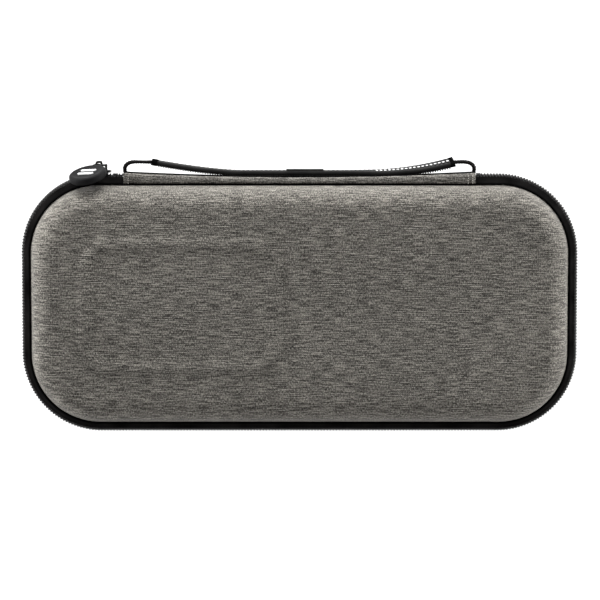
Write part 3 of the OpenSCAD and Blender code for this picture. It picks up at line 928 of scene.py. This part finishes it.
# Places along the strap run from -1 at the CAD strap's left end to 1 at its right end. Beyond
# strap_flat on either side it bends outwards, by so much and with so steep a curve.
strap_flat = 0.42
left_rise, right_rise = 5.1 * MM, 5.7 * MM
left_curve, right_curve = 1.5, 2.1
strap_stop = 0.975
cord_start = 0.015
twist_from = 0.2
patch_reach = 0.122


def frame_at(point, along, up=Vector((0, 0, 1))):
    """A frame with its first axis along a path."""
    along = along.normalized()
    side = up.cross(along).normalized()
    turn = Matrix((along, side, along.cross(side))).transposed().to_4x4()
    return Matrix.Translation(point) @ turn


def path_frames(points, up=Vector((0, 0, 1)), ring=False):
    """Frames along a row of points, which closes on itself where it is a ring."""
    count = len(points)
    frames = []
    for i, point in enumerate(points):
        after = points[(i + 1) % count] if ring else points[min(i + 1, count - 1)]
        before = points[i - 1] if ring else points[max(i - 1, 0)]
        frames.append(frame_at(point, after - before, up))
    return frames


def sweep_frames(section, frames, ring=False):
    """Carries a closed section of (side, up) points through a row of frames."""
    bm = bmesh.new()
    verts = [bm.verts.new(frames[0] @ Vector((0, a, b))) for a, b in section]
    edges = [bm.edges.new(pair) for pair in zip(verts, verts[1:] + verts[:1])]
    geom = verts + edges
    for old, new in zip(frames, frames[1:] + (frames[:1] if ring else [])):
        geom = profile_of(bmesh.ops.extrude_edge_only(bm, edges=edges_of(geom))["geom"])
        bmesh.ops.transform(bm, matrix=new @ old.inverted(), verts=verts_of(geom))
    if not ring:
        close_end(bm, verts)
        close_end(bm, verts_of(geom))
    return tidy(bm, 2e-6 if ring else 1e-7)


def round_section(radius, sides):
    return arc_points(0, 0, radius, 0, 360 * (sides - 1) / sides, sides - 1)


section_steps = 3


def soft_section(half_a, half_b, r):
    """A rectangle with round corners as (side, up) points."""
    points = []
    for k, (sa, sb) in enumerate(((1, 1), (-1, 1), (-1, -1), (1, -1))):
        points += arc_points(sa * (half_a - r), sb * (half_b - r), r, 90 * k, 90 * (k + 1), section_steps)
    return points


def strap_point(t, high=0.0):
    """A point on the strap's middle line, t from -1 to 1, high of it outwards."""
    rise, curve = (right_rise, right_curve) if t > 0 else (left_rise, left_curve)
    climb = rise * (max(0.0, abs(t) - strap_flat) / (1 - strap_flat)) ** curve
    return Vector((strap_mid_x + strap_half * t, strap_seat + climb + strap_t / 2 + high, mid_z))


def strap_run(t0, t1, count, high=0.0):
    return [strap_point(t0 + (t1 - t0) * i / count, high) for i in range(count + 1)]


def strap_frames(t0, t1, count):
    """Frames along the strap, whose right end turns its outer face a little to the front."""
    points = strap_run(t0, t1, count)
    frames = path_frames(points)
    for i, frame in enumerate(frames):
        t = max(0.0, (t0 + (t1 - t0) * i / count - twist_from) / (1 - twist_from))
        frames[i] = frame @ Matrix.Rotation(strap_twist * min(1.0, t * t * (3 - 2 * t)), 4, "X")
    return frames


def strap_places(t0, t1, count, side, up):
    """Points that lie beside the strap's middle line, in the strap's own turned frame."""
    return [frame @ Vector((0, side, up)) for frame in strap_frames(t0, t1, count)]


strap = make_piece(
    "strap_band",
    sweep_frames(soft_section(strap_t / 2, strap_w / 2, strap_round), strap_frames(-1, strap_stop, 96)),
    STRAP, 60,
)
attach(strap, "handle")
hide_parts("handle_strap")

patch = make_piece(
    "strap_patch",
    sweep_frames(
        soft_section(0.45 * MM, strap_w / 2 - 0.5 * MM, 0.4 * MM),
        path_frames(strap_run(-patch_reach, patch_reach, 16, strap_t / 2 + 0.15 * MM)),
    ),
    STRAP, 60,
)
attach(patch, "handle")
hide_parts("handle_patch")

# Bound ends, stitches on the edges and the outer face, and a row of plain white bars there
for end_name, t0, t1, proud in (
    ("left", -1.004, -0.965, 0.22 * MM),
    ("right", 0.951, 0.979, 0.1 * MM),
):
    section = soft_section(strap_t / 2 + proud, strap_w / 2 + 0.15 * MM, strap_round + 0.05 * MM)
    end_cap = make_piece(
        f"strap_end_{end_name}", sweep_frames(section, strap_frames(t0, t1, 4)), PIPING, 60
    )
    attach(end_cap, "handle")
for edge_name, level in (("upper", strap_w / 2 - 0.25 * MM), ("lower", 0.25 * MM - strap_w / 2)):
    stitches = seam_line(
        f"strap_edge_{edge_name}", strap_places(-0.96, 0.945, 60, -strap_t / 2, level), CORD,
        mm_size(0.75, 0.9, 0.6), 1.15 * MM,
    )
    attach(stitches, "handle")
for row_name, level in (("upper", 1), ("lower", -1)):
    run = strap_places(-0.95, 0.95, 60, strap_t / 2 - 0.02 * MM, level * (strap_w / 2 - 1.3 * MM))
    stitches = seam_line(
        f"strap_seam_{row_name}", run, DARK_THREAD,
        mm_size(1.5, 0.3, 0.42), 2.1 * MM,
    )
    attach(stitches, "handle")
strap_bars = seam_line(
    "strap_dashes", strap_places(0.46, 0.94, 30, strap_t / 2 + 0.03 * MM, 0),
    WHITE, mm_size(1.45, 0.4, 10.4), 1.95 * MM,
)
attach(strap_bars, "handle")


# Twisted cords


strands, strand_sides = 3, 7
strand_out, strand_r = 0.52, 0.6


def rope_bmesh(points, radius, lay_length, ring=False, up=Vector((0, 0, 1))):
    """Strands wound round a path; each is a small tube on a helix."""
    frames = path_frames(points, up, ring)
    run = [0.0]
    for a, b in zip(points, points[1:]):
        run.append(run[-1] + (b - a).length)
    total = run[-1] + ((points[0] - points[-1]).length if ring else 0)
    turns = total / lay_length
    if ring:
        turns = round(turns)
    whole = bmesh.new()
    for strand in range(strands):
        centres = []
        for frame, s in zip(frames, run):
            a = 2 * math.pi * (turns * s / total + strand / strands)
            centres.append(frame @ (Vector((0, math.cos(a), math.sin(a))) * radius * strand_out))
        section = round_section(radius * strand_r, strand_sides)
        join_part(whole, sweep_frames(section, path_frames(centres, up, ring), ring))
    return whole


def cord_line(sign):
    """The handle cord's line from inside the spine's end, round its bend and into the strap's end."""
    root_x = sign * (spine_x - 0.3 * MM)
    end = strap_point(strap_stop - cord_start if sign > 0 else cord_start - 1)
    bend = 4.2 * MM
    points = [
        Vector((root_x - sign * 0.4 * MM, spine_end_y - 3 * MM, mid_z)),
        Vector((root_x, spine_end_y - 0.8 * MM, mid_z)),
        Vector((root_x + sign * 0.2 * MM, end.y - bend * 0.55, mid_z)),
        Vector((root_x - sign * bend * 0.3, end.y - bend * 0.12, mid_z)),
        Vector((root_x - sign * bend, end.y + 0.25 * MM, mid_z)),
        Vector((end.x + sign * 2.2 * MM, end.y + 0.15 * MM, mid_z)),
        Vector((end.x, end.y, mid_z)),
    ]
    return smooth_line(points, 7)


for side_name, sign in (("left", -1), ("right", 1)):
    rope = make_piece(
        f"cord_rope_{side_name}", rope_bmesh(cord_line(sign), cord_r, 3.6 * MM), CORD, 180
    )
    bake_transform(rope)
    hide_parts(f"handle_cord_{side_name}")


# The slider, its cord loop and the disc


def cad_copy(node, name, material, body, width):
    """A merged copy of a CAD node with softened edges, which stands for the node."""
    bm = bmesh.new()
    bm.from_mesh(bpy.data.objects[node].data)
    bmesh.ops.remove_doubles(bm, verts=bm.verts, dist=2e-6)
    bmesh.ops.dissolve_limit(bm, angle_limit=math.radians(2), verts=bm.verts, edges=bm.edges)
    sharp = [e for e in bm.edges if len(e.link_faces) == 2 and e.calc_face_angle(0) > math.radians(40)]
    bmesh.ops.bevel(
        bm, geom=sharp, offset=width, segments=2, profile=0.5, affect="EDGES", clamp_overlap=True, material=-1
    )
    piece = make_piece(name, bm, material, 40)
    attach(piece, body)
    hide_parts(node)


cad_copy("zip_slider", "slider_body", ENAMEL, "slider", 0.14 * MM)
cad_copy("zipper_start_stop", "start_stop", ENAMEL, "lid", 0.25 * MM)
cad_copy("zipper_end_stop", "end_stop", ENAMEL, "base", 0.25 * MM)

slider_bar_y = 64.2 * MM
loop_lean = math.radians(14.5)
loop_reach = 4.5 * MM
loop_r = 1.55 * MM
loop_cord_r = 0.55 * MM
disc_turn = math.radians(11.5)
disc_face_turn = math.radians(90 + 19)
tab_dir = math.radians(23.5)
tab_reach = 11.15 * MM
disc_r = 8.75 * MM
disc_half = 1.75 * MM
loop_place = Matrix.Translation((-run_x, slider_bar_y, mid_z)) @ Matrix.Rotation(-loop_lean, 4, "Y")
disc_place = (
    loop_place
    @ Matrix.Translation((0, 0, loop_reach))
    @ Matrix.Rotation(loop_lean, 4, "Y")
    @ Matrix.Rotation(disc_turn, 4, "Z")
    @ Matrix.Rotation(disc_face_turn, 4, "X")
    @ Matrix.Rotation(tab_dir, 4, "Z")
)

loop_points = []
for centre_z, start in ((loop_reach, 0), (0, 180)):
    loop_points += [Vector((0, y, z)) for y, z in arc_points(0, centre_z, loop_r, start, start + 180, 12)]
    far = loop_points[-1]
    step = loop_reach / 7 * (-1 if start == 0 else 1)
    loop_points += [far + Vector((0, 0, step * i)) for i in range(1, 7)]
loop_points = [loop_place @ p for p in loop_points]
pull_cord = make_piece(
    "pull_cord", rope_bmesh(loop_points, loop_cord_r, 2.6 * MM, ring=True, up=Vector((1, 0, 0))),
    CORD, 180,
)
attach(pull_cord, "pull")
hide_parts("pull_loop")

# The disc is turned from one profile: a dished face inside a round rim, the same on both sides
dish_z = disc_half - 0.32 * MM
rim_round = 1.2 * MM
disc_side = [(0.0, dish_z), (disc_r - 2.5 * MM, dish_z), (disc_r - 1.95 * MM, disc_half - 0.05 * MM)]
disc_side += arc_points(disc_r - rim_round, disc_half - rim_round, rim_round, 90, 0, 6)
disc_profile = disc_side + [(r, -z) for r, z in reversed(disc_side)]
disc_bm = bmesh.new()
disc_verts = [disc_bm.verts.new((r, 0, z)) for r, z in disc_profile]
disc_edges = [disc_bm.edges.new(pair) for pair in zip(disc_verts, disc_verts[1:])]
bmesh.ops.spin(
    disc_bm, geom=disc_verts + disc_edges, cent=(0, 0, 0), axis=(0, 0, 1),
    angle=2 * math.pi, steps=72, use_merge=True,
)
tidy(disc_bm)
bmesh.ops.transform(disc_bm, matrix=Matrix.Translation((0, tab_reach, 0)), verts=disc_bm.verts)

# Its eye is a flat ring on a short neck
eye_mid = 1.78 * MM
eye_half, eye_round = 0.7 * MM, 0.4 * MM
eye_steps = 32
eye_frames = []
for i in range(eye_steps):
    a = 2 * math.pi * i / eye_steps
    spot = Vector((eye_mid * math.cos(a), loop_r + eye_mid * math.sin(a), 0))
    eye_frames.append(frame_at(spot, Vector((-math.sin(a), math.cos(a), 0))))
join_part(disc_bm, sweep_frames(soft_section(0.68 * MM, eye_half, eye_round), eye_frames, ring=True))
neck_frames = path_frames([Vector((0, y * MM, 0)) for y in (3.0, 3.4, 3.9)])
join_part(disc_bm, sweep_frames(soft_section(1.9 * MM, eye_half, eye_round), neck_frames))
bmesh.ops.transform(disc_bm, matrix=disc_place, verts=disc_bm.verts)
disc = make_piece("grip_disc", disc_bm, RUBBER, 50)
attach(disc, "disc")
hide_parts("pull_disc")

# Two plain bars with round ends lie in the dish
bar_reach = 3.1 * MM
bar_apart = 1.8 * MM
bar_r = 0.8 * MM
bar_half_t = 0.28 * MM
bar_z = 0.16 * MM - disc_half
bars_bm = bmesh.new()
for sign in (-1, 1):
    bar_y = tab_reach + sign * bar_apart
    bar_frames = path_frames([Vector((x, bar_y, bar_z)) for x in (-bar_reach, 0, bar_reach)])
    bar = sweep_frames(soft_section(bar_r, bar_half_t, 0.2 * MM), bar_frames)
    for x in (-bar_reach, bar_reach):
        bmesh.ops.create_cone(
            bar, cap_ends=True, segments=20, radius1=bar_r, radius2=bar_r, depth=2 * bar_half_t,
            matrix=Matrix.Translation((x, bar_y, bar_z)),
        )
    join_part(bars_bm, bar)
bmesh.ops.transform(bars_bm, matrix=disc_place, verts=bars_bm.verts)
bars = make_piece("grip_bars", bars_bm, WHITE, 40)
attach(bars, "disc")
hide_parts("disc_grip_bars")


# Inside the case

for node in ("console_tray", "spine_lining", "divider_anchor", "pocket_zip_tape"):
    node_materials = bpy.data.objects[node].data.materials
    node_materials.clear()
    node_materials.append(TAPE if node == "pocket_zip_tape" else FELT)
cad_copy("pocket_slider", "net_slider", ENAMEL, "pocket_slider", 0.18 * MM)
cad_copy("pocket_pull", "net_pull", ENAMEL, "pocket_pull", 0.15 * MM)

divider_lo, divider_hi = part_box("divider_pad")
divider_mid = (divider_lo + divider_hi) / 2
divider_half = (divider_hi - divider_lo) / 2
divider_r = 26 * MM
quilt_in, quilt_w, quilt_deep = 5.5 * MM, 0.9 * MM, 0.3 * MM
page_edge_t = 0.35 * MM


def corner_pull(x, y, half, r):
    """How far a point of a round-cornered page lies inside its edge."""
    dx = abs(x) - (half.x - r)
    dy = abs(y) - (half.y - r)
    return r - math.hypot(max(dx, 0), max(dy, 0)) - min(max(dx, dy), 0)


def page_bmesh():
    """A padded page: two quilted faces that draw together at a bound edge."""
    bm = bmesh.new()
    bmesh.ops.create_grid(bm, x_segments=116, y_segments=48, size=1)
    for v in bm.verts:
        x, y = v.co.x * divider_half.x, v.co.y * divider_half.y
        reach_x, reach_y = divider_half.x - divider_r, divider_half.y - divider_r
        inner = Vector((max(-reach_x, min(reach_x, x)), max(-reach_y, min(reach_y, y))))
        away = Vector((x, y)) - inner
        if away.length > NO_LENGTH:
            square = max(abs(away.x), abs(away.y))
            away *= square / away.length
        v.co = (inner.x + away.x, inner.y + away.y, 0)
    top = list(bm.verts)
    copy = bmesh.ops.duplicate(bm, geom=bm.verts[:] + bm.edges[:] + bm.faces[:])["geom"]
    bottom = verts_of(copy)
    for verts, sign in ((top, 1), (bottom, -1)):
        for v in verts:
            inside = max(0.0, corner_pull(v.co.x, v.co.y, divider_half, divider_r))
            swell = min(1.0, inside / (5 * MM))
            puff = math.sqrt(max(0.0, 1 - (1 - swell) ** 2))
            seam = math.exp(-(((inside - quilt_in) / quilt_w) ** 2)) * quilt_deep
            wave = noise.noise(Vector((v.co.x * 30, v.co.y * 30, 3.0 * sign))) * 0.12 * MM
            v.co.z = sign * (page_edge_t + puff * (divider_half.z - 0.5 * MM) - seam + wave * swell)
            if inside < 1e-6:
                v.co.z = 0
    bmesh.ops.translate(bm, verts=bm.verts, vec=divider_mid)
    return tidy(bm, 2e-6)


page = make_piece("divider_page", page_bmesh(), FELT, 180)
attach(page, "divider")
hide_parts("divider_pad")

edge_line = []
for sx, sy, start in ((1, 1, 0), (-1, 1, 90), (-1, -1, 180), (1, -1, 270)):
    cx, cy = sx * (divider_half.x - divider_r), sy * (divider_half.y - divider_r)
    edge_line += [
        Vector((divider_mid.x + u, divider_mid.y + v, divider_mid.z))
        for u, v in arc_points(cx, cy, divider_r - 0.5 * MM, start, start + 90, 14)
    ]
page_edge = make_piece(
    "divider_binding",
    sweep_frames(soft_section(0.9 * MM, 1.15 * MM, 0.6 * MM), path_frames(edge_line, ring=True), ring=True),
    PIPING, 60,
)
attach(page_edge, "divider")

# Ten card pockets: an elastic cloth patch each, with a bound mouth and sewn sides
card_step = mm_size(38, 40)
card_half = mm_size(12, 14)
card_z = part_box("card_pockets")[0].z
card_lift = 0.12
card_swell = 0.5
card_seam_in = 0.7 * MM
card_stitches, card_pitch = 14, 1.95 * MM
cards = bmesh.new()
mouths = bmesh.new()
card_seams = bmesh.new()
card_stitch = bead_mesh("card_stitch", mm_size(1.3, 0.3, 0.3), 6, 4)
for ix in range(-2, 3):
    for iy in (-0.5, 0.5):
        centre = Vector((divider_mid.x + ix * card_step.x, divider_mid.y + iy * card_step.y, 0))
        patch_bm = bmesh.new()
        bmesh.ops.create_grid(patch_bm, x_segments=14, y_segments=16, size=1)
        for v in patch_bm.verts:
            swell = (1 - v.co.x**2) ** 0.5 if abs(v.co.x) < 1 else 0
            lift = (card_lift + card_swell * swell * (0.55 + 0.45 * v.co.y)) * MM
            v.co = (centre.x + v.co.x * card_half.x, centre.y + v.co.y * card_half.y, card_z + lift)
        rim = [e for e in patch_bm.edges if e.is_boundary]
        for v in verts_of(bmesh.ops.extrude_edge_only(patch_bm, edges=rim)["geom"]):
            v.co.z = card_z - 0.1 * MM
        join_part(cards, patch_bm)
        mouth = []
        for t in (-1, -0.8, -0.5, 0, 0.5, 0.8, 1):
            lift = (card_lift + card_swell * (1 - t * t) ** 0.5) * MM
            mouth.append(Vector((centre.x + t * card_half.x, centre.y + card_half.y, card_z + lift)))
        join_part(mouths, sweep_frames(soft_section(0.55 * MM, 0.3 * MM, 0.2 * MM), path_frames(mouth)))
        for sx in (-1, 1):
            seam_x = centre.x + sx * (card_half.x - card_seam_in)
            for k in range(card_stitches):
                spot = Vector((seam_x, centre.y - card_half.y + (k + 0.5) * card_pitch, card_z + 0.3 * MM))
                add_copy(card_seams, card_stitch, Matrix.Translation(spot) @ Matrix.Rotation(QUARTER, 4, "Z"))
bmesh.ops.recalc_face_normals(cards, faces=cards.faces)
bmesh.ops.recalc_face_normals(mouths, faces=mouths.faces)
card_piece = make_piece("card_patches", cards, CARD_CLOTH, 50)
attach(card_piece, "divider")
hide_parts("card_pockets")
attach(make_piece("card_mouths", mouths, PIPING, 50), "divider")
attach(make_piece("card_stitches", card_seams, DARK_THREAD, 180), "divider")

# The lid's net pocket, its binding and its zipper
net_lo, net_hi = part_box("pocket_mesh")
net_z = (net_lo.z + net_hi.z) / 2
zip_y = -24 * MM
slot_half = 3.5 * MM
bind_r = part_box("pocket_binding")[1].x - run_x
bind_half = 1.5 * MM
bind_section = soft_section(bind_half, 0.8 * MM, 0.45 * MM)
bind_profile = [(bind_r - bind_half + a, net_z + b) for a, b in bind_section]
net_binding = make_piece(
    "net_binding", sweep_case(bind_profile, True, corner_steps=16), CARD_CLOTH, 60
)
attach(net_binding, "lid")
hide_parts("pocket_binding")

MESH_CELL = 2.4 * MM
net_r = bind_r - 2.6 * MM


def net_bmesh():
    """A square net laid across the lid, open along its zipper."""
    half_x, half_y = run_x + net_r, run_y + net_r
    bm = bmesh.new()
    bmesh.ops.create_grid(
        bm, x_segments=round(2 * half_x / MESH_CELL), y_segments=round(2 * half_y / MESH_CELL), size=1
    )
    bmesh.ops.transform(bm, matrix=Matrix.Diagonal((half_x, half_y, 1, 1)), verts=bm.verts)
    gone = []
    for face in bm.faces:
        middle = face.calc_center_median()
        outside = any(wall_distance(v.co.x, v.co.y)[0] > net_r for v in face.verts)
        if outside or abs(middle.y - zip_y) < slot_half:
            gone.append(face)
    bmesh.ops.delete(bm, geom=gone, context="FACES")
    for v in bm.verts:
        edge = min(1.0, (net_r - wall_distance(v.co.x, v.co.y)[0]) / (12 * MM))
        v.co.z = net_z - 0.35 * MM * edge * noise.noise(Vector((v.co.x * 25, v.co.y * 25, 5)))
    return bm


net = make_piece("net_sheet", net_bmesh(), NET, 180)
threads = net.modifiers.new("threads", "WIREFRAME")
threads.thickness = 0.42 * MM
threads.use_even_offset = False
threads.use_boundary = True
apply_modifiers(net)
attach(net, "lid")
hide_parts("pocket_mesh")

net_pitch = 1 * MM
net_coil = bmesh.new()
net_tooth = bead_mesh("net_tooth", mm_size(0.75, 1.7, 0.9), 6, 5)
for k in range(int(2 * run_x / net_pitch)):
    spot = Vector((-run_x + (k + 0.5) * net_pitch, zip_y, net_z - 0.1 * MM))
    add_copy(net_coil, net_tooth, Matrix.Translation(spot))
net_coil_piece = make_piece("net_coil", net_coil, COIL, 180)
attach(net_coil_piece, "lid")
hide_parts("pocket_zip_coil")
